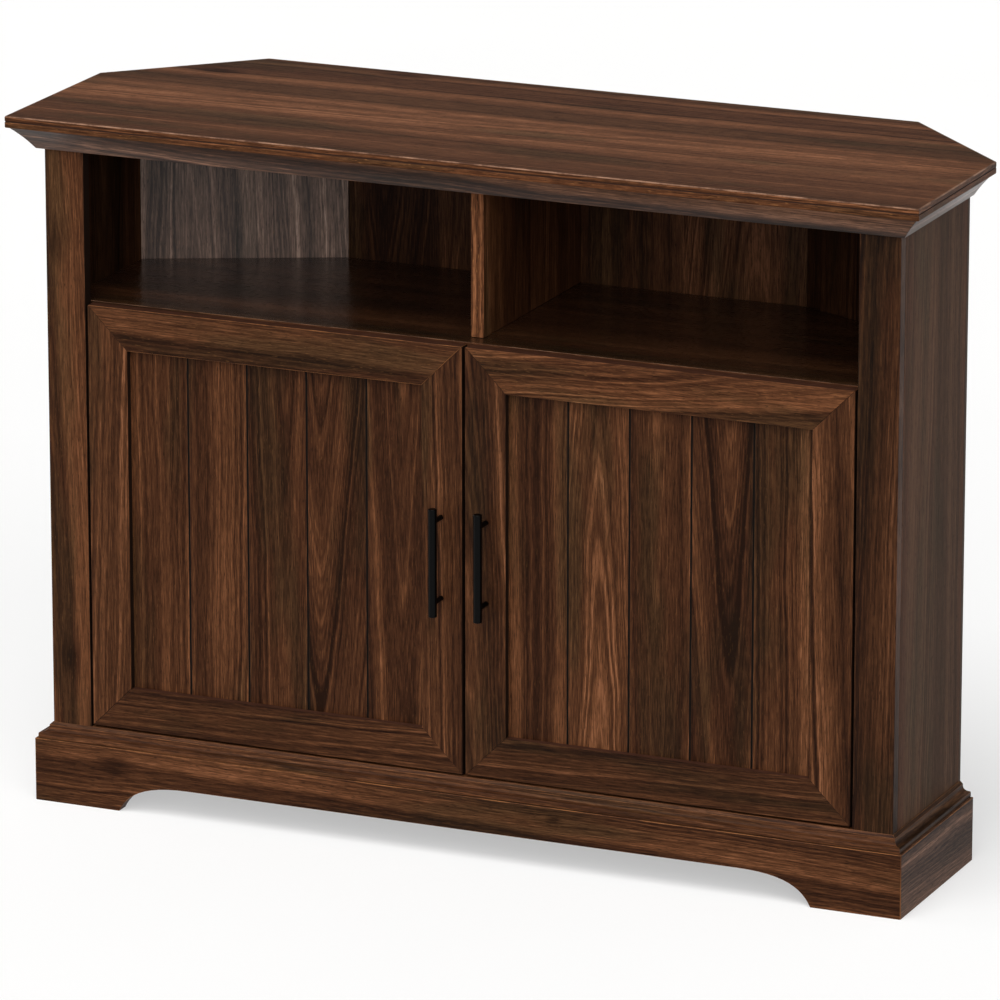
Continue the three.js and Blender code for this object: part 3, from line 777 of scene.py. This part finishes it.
# the fixed shelf's top is painted darker, as shade inside the upper bays
fixedShelfShadedLook = {
    **shelf, "shift": (0.9, 1.4, 0.2), "tone": 0.4, "roughness": 0.22, "specular": 0.85,
    "arrisFinish": "pinkish",
}
shelfFront = {"grain": "xzy", "shift": (0.5, 0.7, 0.3), "oneStrip": (0.56, 0.01, 0.01)}
shelves = {
    "bottom_panel": {**shelf, "shift": (2.9, 2.4, 0.2)},
    "loose_shelf_left": {**shelf, "shift": (0.1, 0.3, 0.7)},
    "loose_shelf_right": {**shelf, "shift": (0.9, 0.8, 0.7)},
}
fixedShelf = dress("fixed_shelf", fixedShelfShadedLook)
paintFaces(fixedShelf, walnut("shelfFrontWalnut", shelfFront), looksForward)
dressAll(shelves)

divider = {"grain": "zyx", "taper": 0.05, "arris": 0.0006}
dividers = {
    "upper_divider": {**divider, "shift": (0.4, 0.9, 1.2), "tone": 0.9},
    "lower_divider": {**divider, "shift": (1.4, 1.9, 0.7)},
}
dividerFront = {
    "grain": "zxy", "shift": (0.6, 0.3, 0.9), "oneStrip": (-0.03, 0.01, 0.01), "tone": 1.9,
    "fleck": 0.4,
}
upperDivider = dressAll(dividers)[0]
paintFaces(upperDivider, walnut("dividerFrontWalnut", dividerFront), looksForward)

packer = {"grain": "zyx", "arris": 0.0005}
packers = {
    "hinge_packer_left": {**packer, "shift": (0.4, 2.9, 0.2)},
    "hinge_packer_right": {**packer, "shift": (0.8, 3.9, 0.9)},
}
dressAll(packers)
print("carcass dressed")


# Plinth and its cap

plinth = {"arris": 0.0007, "arrisFinish": "orange", "wander": 0.04}
plinthSide = {**plinth, "grain": "yzx"}
plinths = {
    "plinth_front": {
        **plinth, "grain": "xzy", "shift": (0.2, 0.3, 0.4), "oneStrip": (-0.05, 0.02, 0.02),
        "tone": 0.95, "knots": ((-0.438, 0.050, 0.011), (0.12, 0.062, 0.006)),
    },
    "plinth_side_left": {
        **plinthSide, "shift": (0.2, 1.3, 0.4), "oneStrip": (-0.04, 0.03, 0.02),
    },
    # its sheen share is painted sheen
    "plinth_side_right": {
        **plinthSide, "shift": (0.9, 2.3, 0.8), "oneStrip": (-0.05, 0.03, 0.02), "tone": 1.1,
        "grey": 0.3,
    },
}
dressAll(plinths)

cap = {"arris": 0.0004, "arrisFinish": "orange", "specular": 0.08, "roughness": 0.4}
capSide = {**cap, "grain": "yzx"}
caps = {
    "plinth_cap_front": {
        **cap, "grain": "xzy", "shift": (3.2, 0.3, 0.1), "oneStrip": (0.06, 0.01, 0.01),
    },
    "plinth_cap_left": {**capSide, "shift": (0.2, 2.2, 0.1), "oneStrip": (0.06, 0.01, 0.01)},
    "plinth_cap_right": {**capSide, "shift": (0.6, 1.2, 0.5), "oneStrip": (0.05, 0.01, 0.01)},
}
dressAll(caps)

baseRail = {"arris": 0.0005}
makeFrom("rear_base_rail", boardBack, baseRail["arris"])
print("plinth dressed")


# Doors

doorMember = {"arris": 0.0006}
across = {**doorMember, "grain": "xzy"}
upright = {**doorMember, "grain": "zxy"}
boards = {"grain": "zxy", "arris": 0.0003, "wander": 0.035}
doors = {
    "left": {
        "top_rail": {
            **across, "shift": (1.1, 0.5, 0.87), "oneStrip": (0.50, 0.02, 0.03), "fleck": 0.3,
            "contrast": 0.9, "arrisFinish": "orange",
        },
        "bottom_rail": {
            **across, "shift": (0.7, 0.1, 0.33), "oneStrip": (0.05, 0.015, -0.03), "tone": 0.8,
        },
        "handle_stile": {
            **upright, "shift": (0.31, 0.2, 0.5), "oneStrip": (-0.08, 0.02, 0.02), "tone": 0.95,
        },
        "hinge_stile": {
            **upright, "shift": (0.77, 0.7, 1.5), "oneStrip": (-0.50, 0.03, -0.03), "tone": 0.9,
        },
        "panel": {
            **boards, "shift": (0.415, 0.3, 2.5), "boards": (-0.4265, 0.0754), "tone": 1.12,
        },
    },
    "right": {
        "top_rail": {
            **across, "shift": (2.8, 0.5, 2.57), "oneStrip": (0.62, 0.03, 0.10), "wander": 0.07,
            "tone": 1.35, "fleck": 0.3,
        },
        "bottom_rail": {
            **across, "shift": (2.4, 0.1, 2.03), "oneStrip": (0.05, 0.015, -0.02), "tone": 0.7,
        },
        "handle_stile": {
            **upright, "shift": (2.01, 0.2, 2.2), "oneStrip": (0.0, 0.02, 0.04), "tone": 0.8,
        },
        "hinge_stile": {
            **upright, "shift": (2.47, 0.7, 3.2), "oneStrip": (0.50, 0.03, -0.04), "tone": 0.9,
        },
        "panel": {
            **boards, "shift": (2.115, 0.3, 4.2), "boards": (0.0495, 0.0754), "tone": 1.05,
        },
    },
}
doorFaces = {
    "grooves": (0.06, 0.42),  # m from the middle, between which the boards meet
    "grooveLean": 0.3,  # least lean of a groove's sides
    "mitreLean": 0.2,  # least lean of a mitre's arris, both ways
    "wornMitre": (0.056, 0.55),  # m: nearer than this to the door's right, and above this, a mitre keeps its painted highlight
    "edgeLean": 0.1,  # most lean of the door's edges to the front
    "edgeArea": 0.0005,  # m2, more than an arris has
}


def inGroove(face):
    near, far = doorFaces["grooves"]
    return abs(face.normal.x) > doorFaces["grooveLean"] and near < abs(face.center.x) < far


def onMitre(face):
    return min(abs(face.normal.x), abs(face.normal.z)) > doorFaces["mitreLean"]


def onEdge(face):
    return abs(face.normal.y) < doorFaces["edgeLean"] and face.area > doorFaces["edgeArea"]


def onLevelEdge(face):
    return onEdge(face) and abs(face.normal.z) > facing["halfway"]


def onUprightEdge(face):
    return onEdge(face) and not onLevelEdge(face)


for hand, parts in doors.items():
    doorRight = corners("door_top_rail_" + hand)[1].x
    for part, look in parts.items():
        piece = dress("door_" + part + "_" + hand, look)
        if part == "panel":
            paintFaces(piece, plain["boardGroovePaint"], inGroove)
            continue
        nearRight, above = doorFaces["wornMitre"]
        for face in piece.data.polygons:  # only one mitre of the door keeps the painted highlight of its arris
            glinting = face.center.x > doorRight - nearRight and face.center.z > above
            if face.material_index == 1 and onMitre(face) and not glinting:
                face.material_index = 0
        paintFaces(piece, plain["edgeBand"], onLevelEdge)
        # upright edges, in the gaps and on the recess walls, get painted gap shade
        paintFaces(piece, plain["gapBand"], onUprightEdge)
print("doors dressed")


# Pulls: a bar on two posts, each post with a stud into the door

pull = {
    "barSides": 48,
    "endBevel": 0.0010,
    "endBevelSteps": 3,
    "endInset": 0.0014,
    "endDish": 0.0003,
    "postSides": 32,
    "postEase": 0.0003,
    "postEaseSteps": 2,
    "studRadius": 0.002,
    "studLength": 0.0097,
}


def makeBar(nodeName):
    low, high = corners(nodeName)
    radius, length = (high.x - low.x) / 2, high.z - low.z
    piece = addCylinder(camel(nodeName), radius, length, (low + high) / 2, "z", pull["barSides"])
    pick(piece, "EDGE", lambda a, b: abs(a.z - b.z) < modelling["levelWithin"])
    bpy.ops.mesh.bevel(offset=pull["endBevel"], segments=pull["endBevelSteps"], affect="EDGES")
    pick(piece, "FACE", lambda face: abs(face.normal.z) > facing["exactly"])
    bpy.ops.mesh.inset(thickness=pull["endInset"], depth=-pull["endDish"])
    finishWith(piece, black)
    return piece


def makePost(nodeName):
    low, high = corners(nodeName)
    length = corners("door_handle_stile_left")[0].y - low.y
    centre = ((low.x + high.x) / 2, low.y + length / 2, (low.z + high.z) / 2)
    radius = (high.x - low.x) / 2
    piece = addCylinder(camel(nodeName), radius, length, centre, "y", pull["postSides"])
    pick(piece, "FACE", lambda face: face.normal.y > facing["exactly"])
    bpy.ops.mesh.bevel(offset=pull["postEase"], segments=pull["postEaseSteps"], affect="EDGES")
    pick(piece, "FACE", lambda face: face.normal.y > facing["exactly"])
    bpy.ops.mesh.inset(thickness=radius - pull["postEase"] - pull["studRadius"])
    bpy.ops.mesh.extrude_region_move(TRANSFORM_OT_translate={"value": (0, pull["studLength"], 0)})
    finishWith(piece, black)
    return piece


bar = makeBar("handle_bar_left")
standFor(bar, "handle_bar_left")
standFor(copyTo(bar, "handle_bar_right"), "handle_bar_right")
post = makePost("handle_post_lower_left")
standFor(post, "handle_post_lower_left")
for nodeName in ("handle_post_upper_left", "handle_post_lower_right", "handle_post_upper_right"):
    standFor(copyTo(post, nodeName), nodeName)
print("pulls made")


# Screws, nails and bumpers, modelled once at the origin facing up and copied

screw = {
    "sides": 28,
    "radius": 0.0034,
    "height": 0.0011,
    "rim": 0.0004,
    "rimSteps": 3,
    "cross": (0.0042, 0.0009),
    "crossDepth": 0.0008,
    "cupSpread": 0.024,  # m from the cup's middle
    "plateSpread": 0.016,
    "plateThickness": 0.0024,
    "plateDepth": -0.102,
    "armFace": 0.4657,  # m from the cabinet's middle
    "armDepths": (-0.091, -0.110),
}
nail = {
    "sides": 14,
    "radius": 0.0019,
    "height": 0.0006,
    "rim": 0.0003,
    "rimSteps": 2,
    "pitch": 0.098,
    "rowStart": -0.245,
    "rowCount": 6,
    "intoBoard": 0.0075,  # m above the underside of the board it holds
    "dividerHeights": (0.18, 0.28, 0.38, 0.48, 0.68, 0.76),
    "slantFrom": (0.526, 0.0546, 0),  # the outside of the right slanting panel, seen from above
    "slantTo": (0.2903, 0.1655, 0),
    "slantMargin": 0.008,
    "slantStart": 0.10,
    "slantCount": 8,
}
bumper = {
    "sides": 24,
    "radius": 0.0026,
    "height": 0.0007,
    "rim": 0.0004,
    "rimSteps": 2,
    "inset": 0.0055,
    "rise": 0.045,
}


def makeDisc(name, look):
    height = look["height"]
    disc = addCylinder(name, look["radius"], height, (0, 0, height / 2), "z", look["sides"])
    pick(disc, "EDGE", lambda a, b: min(a.z, b.z) > height - modelling["levelWithin"])
    bpy.ops.mesh.bevel(offset=look["rim"], segments=look["rimSteps"], affect="EDGES")
    bpy.ops.object.mode_set(mode="OBJECT")
    return disc


def makeScrew():
    head = makeDisc("screwPattern", screw)
    long, wide = screw["cross"]
    deep = screw["crossDepth"] * 2
    for size in ((long, wide, deep), (wide, long, deep)):
        bpy.ops.mesh.primitive_cube_add(size=1, location=(0, 0, screw["height"]), scale=size)
        cutter = bpy.context.object
        recess = head.modifiers.new("crossRecess", "BOOLEAN")
        recess.operation = "DIFFERENCE"
        recess.object = cutter
        applyAll(head)
        bpy.data.objects.remove(cutter)
    return head


screwPattern = makeScrew()
nailPattern = makeDisc("nailPattern", nail)
bumperPattern = makeDisc("bumperPattern", bumper)
for pattern, finish in ((screwPattern, plate), (nailPattern, plate), (bumperPattern, black)):
    finishWith(pattern, finish)


def place(pattern, name, spot, direction, body):
    piece = copyOf(pattern, name)
    piece.location = spot
    piece.rotation_euler = Vector((0, 0, 1)).rotation_difference(Vector(direction)).to_euler()
    settle(piece)
    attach(piece, body)


def placeScrew(name, spot, direction, body):
    place(screwPattern, camel(name), spot, direction, body)


rearward = (0, 1, 0)
for level in ("lower", "upper"):
    for hand, inward in (("left", 1), ("right", -1)):
        tail = "_" + level + "_" + hand
        door = hand + "_door"
        middle = middleOf("hinge_cup" + tail)
        cupRear = corners("hinge_cup" + tail)[1].y
        for i, way in enumerate((-1, 1)):
            spot = (middle.x, cupRear, middle.z + way * screw["cupSpread"])
            placeScrew("cup_screw" + tail + str(i), spot, rearward, door)
        low, high = corners("hinge_arm" + tail)
        plateFace = max(-low.x, high.x) - screw["plateThickness"]
        middle = (low + high) / 2
        for i, way in enumerate((-1, 1)):
            height = middle.z + way * screw["plateSpread"]
            spot = (-inward * plateFace, screw["plateDepth"], height)
            placeScrew("plate_screw" + tail + str(i), spot, (inward, 0, 0), "carcass")
        for i, depth in enumerate(screw["armDepths"]):
            spot = (-inward * screw["armFace"], depth, middle.z)
            placeScrew("arm_screw" + tail + str(i), spot, (inward, 0, 0), "carcass")
        middle = middleOf("handle_post" + tail)
        doorBack = corners("door_handle_stile_" + hand)[1].y
        placeScrew("pull_screw" + tail, (middle.x, doorBack, middle.z), rearward, door)

for hand, outward in (("left", -1), ("right", 1)):
    low, high = corners("door_handle_stile_" + hand)
    for level, z in (("lower", low.z + bumper["rise"]), ("upper", high.z - bumper["rise"])):
        spot = (outward * bumper["inset"], high.y, z)
        name = camel("bumper_" + level + "_" + hand)
        place(bumperPattern, name, spot, rearward, hand + "_door")

# nails through the back, into the bottom panel, the fixed shelf and the two dividers
backFace = corners("back_panel")[1].y
backSpots = [
    (nail["rowStart"] + i * nail["pitch"], backFace, corners(board)[0].z + nail["intoBoard"])
    for board in ("bottom_panel", "fixed_shelf")
    for i in range(nail["rowCount"])
]
backSpots += [(0, backFace, height) for height in nail["dividerHeights"]]
for i, spot in enumerate(backSpots):
    place(nailPattern, "backNail" + str(i), spot, rearward, "carcass")

# and along both upright edges of each slanting panel
slantFrom, slantTo = Vector(nail["slantFrom"]), Vector(nail["slantTo"])
slant = (slantTo - slantFrom).normalized()
margin = slant * nail["slantMargin"]
for hand, mirror in (("left", -1), ("right", 1)):
    outward = (mirror * slant.y, -slant.x, 0)
    number = 0
    for edge in (slantFrom + margin, slantTo - margin):
        for i in range(nail["slantCount"]):
            spot = (mirror * edge.x, edge.y, nail["slantStart"] + i * nail["pitch"])
            name = "cornerNail_" + hand + "_" + str(number)
            place(nailPattern, name, spot, outward, "carcass")
            number += 1
print("fastenings made")


# Shelf pegs: a collar, a stub under the shelf and a pin in the hole

peg = {
    "sides": 32,
    "collar": 0.0045,  # radius, as for the stub and the pin
    "collarThickness": 0.0015,
    "stub": 0.003,
    "stubLength": 0.009,
    "pin": 0.0025,
    "pinLength": 0.0069,
    "ease": 0.0003,
    "easeSteps": 2,
}


def onPegRim(a, b):  # the level rings at both ends and round the collar
    farOut = abs(a.x) > peg["collarThickness"] or a.yz.length > (peg["collar"] + peg["stub"]) / 2
    return abs(a.x - b.x) < modelling["levelWithin"] and farOut


def makePeg():
    thickness = peg["collarThickness"]
    piece = addCylinder("pegPattern", peg["collar"], thickness, (0, 0, 0), "x", peg["sides"])
    for end, radius, length in (
        (1, peg["stub"], peg["stubLength"]),
        (-1, peg["pin"], peg["pinLength"]),
    ):
        pick(piece, "FACE", lambda face: face.normal.x * end > facing["exactly"])
        bpy.ops.mesh.inset(thickness=peg["collar"] - radius)
        bpy.ops.mesh.extrude_region_move(TRANSFORM_OT_translate={"value": (end * length, 0, 0)})
    pick(piece, "EDGE", onPegRim)
    bpy.ops.mesh.bevel(offset=peg["ease"], segments=peg["easeSteps"], affect="EDGES")
    finishWith(piece, plate)
    return piece


pegPattern = makePeg()
for hand, mirror in (("left", -1), ("right", 1)):
    for wall, stubWay in (("side", -mirror), ("divider", mirror)):
        for depth in ("front", "rear"):
            nodeName = "_".join(("shelf_peg", wall, depth, hand))
            low, high = corners(nodeName)
            middle = (low + high) / 2
            pinEnd = low.x if stubWay > 0 else high.x
            collarMiddle = pinEnd + stubWay * (peg["pinLength"] + peg["collarThickness"] / 2)
            piece = copyOf(pegPattern, camel(nodeName))
            piece.location = (collarMiddle, middle.y, middle.z)
            piece.rotation_euler = (0, 0, 0 if stubWay > 0 else pi)
            settle(piece)
            standFor(piece, nodeName)
for pattern in (screwPattern, nailPattern, bumperPattern, pegPattern):
    bpy.data.objects.remove(pattern)
print("pegs made")


# Hinges

hinge = {"ease": 0.0003}
for nodeName in frame["nodes"]:
    if nodeName.startswith(("hinge_cup", "hinge_arm")):
        makeFrom(nodeName, plate, hinge["ease"])
print("hinges made")


# Floor, lights and background

studio = {
    "floor": ("f9f8f7", "f3f2f1"),
    "floorDetail": 3.0,
    "floorUnseen": "9a9794",  # what the floor throws back at the cabinet
    "floorGlow": 0.45,  # share of pure white in the floor, as it is seen
    "floorRoughness": 0.85,
    "floorSpecular": 0.1,
    "floorSize": 60,
    "ceiling": 0.22,  # brightness of the world above, on all surfaces
    "horizon": 0.5,
    "heights": (0.10, 0.24),  # between which the horizon turns into the ceiling
    "lampDistance": 6,
    "key": {"strength": 2.6, "azimuth": 26, "elevation": 20, "size": 70},
    "top": {"strength": 1.9, "azimuth": -10, "elevation": 66, "size": 40},
    "left": {"strength": 2.0, "azimuth": -84, "elevation": 2, "size": 22},
}
white = (1, 1, 1, 1)


def paleFloor():
    look = {"roughness": studio["floorRoughness"], "specular": studio["floorSpecular"]}
    material, shader, sheet = newMaterial("paleFloor", **look)
    path = sheet.node("ShaderNodeLightPath")
    seen = sheet.maths("MAXIMUM", path.out("Is Camera Ray"), path.out("Is Glossy Ray"))
    seen = sheet.maths("MAXIMUM", seen, path.out("Is Transmission Ray"))
    mottle = noise(sheet, objectPoint(sheet), studio["floorDetail"])
    colour = mottle.mix(*[paint(code) for code in studio["floor"]])
    seen.mix(paint(studio["floorUnseen"]), colour).feed(shader.inputs["Base Color"])
    glow = sheet.node("ShaderNodeEmission", None, {"Color": white, "Strength": 1.0})
    values = {0: seen * studio["floorGlow"], 1: Wire(sheet.tree, shader.outputs[0]), 2: glow}
    blend = sheet.node("ShaderNodeMixShader", None, values)
    blend.feed(sheet.tree.nodes["Material Output"].inputs["Surface"])
    return material


bpy.ops.object.select_all(action="DESELECT")
bpy.ops.mesh.primitive_plane_add(size=studio["floorSize"])
floor = bpy.context.object
floor.name = "floor"
floor.data.materials.append(paleFloor())


def sun(name):  # azimuth 0 shines on the doors, 90 on the right side
    look = studio[name]
    azimuth, elevation = radians(look["azimuth"]), radians(look["elevation"])
    level = cos(elevation)
    source = Vector((level * sin(azimuth), -level * cos(azimuth), sin(elevation)))
    bpy.ops.object.light_add(type="SUN", location=source * studio["lampDistance"])
    lamp = bpy.context.object
    lamp.name = name + "Light"
    lamp.rotation_euler = (-source).to_track_quat("-Z", "Y").to_euler()
    lamp.data.energy = look["strength"]
    lamp.data.angle = radians(look["size"])


for name in ("key", "top", "left"):
    sun(name)

world = bpy.data.worlds.new("studio")
world.use_nodes = True
scene.world = world
sky = Wire(world.node_tree)
background = world.node_tree.nodes["Background"]
direction = sky.node("ShaderNodeTexCoord", output="Generated")
height = sky.node("ShaderNodeSeparateXYZ", None, {0: direction}, "Z")
fall = height.between(*studio["heights"]) * (studio["horizon"] - studio["ceiling"])
(studio["horizon"] - fall).feed(background.inputs["Strength"])
background.inputs["Color"].default_value = white
scene.view_settings.view_transform = "Standard"
print("studio lit")
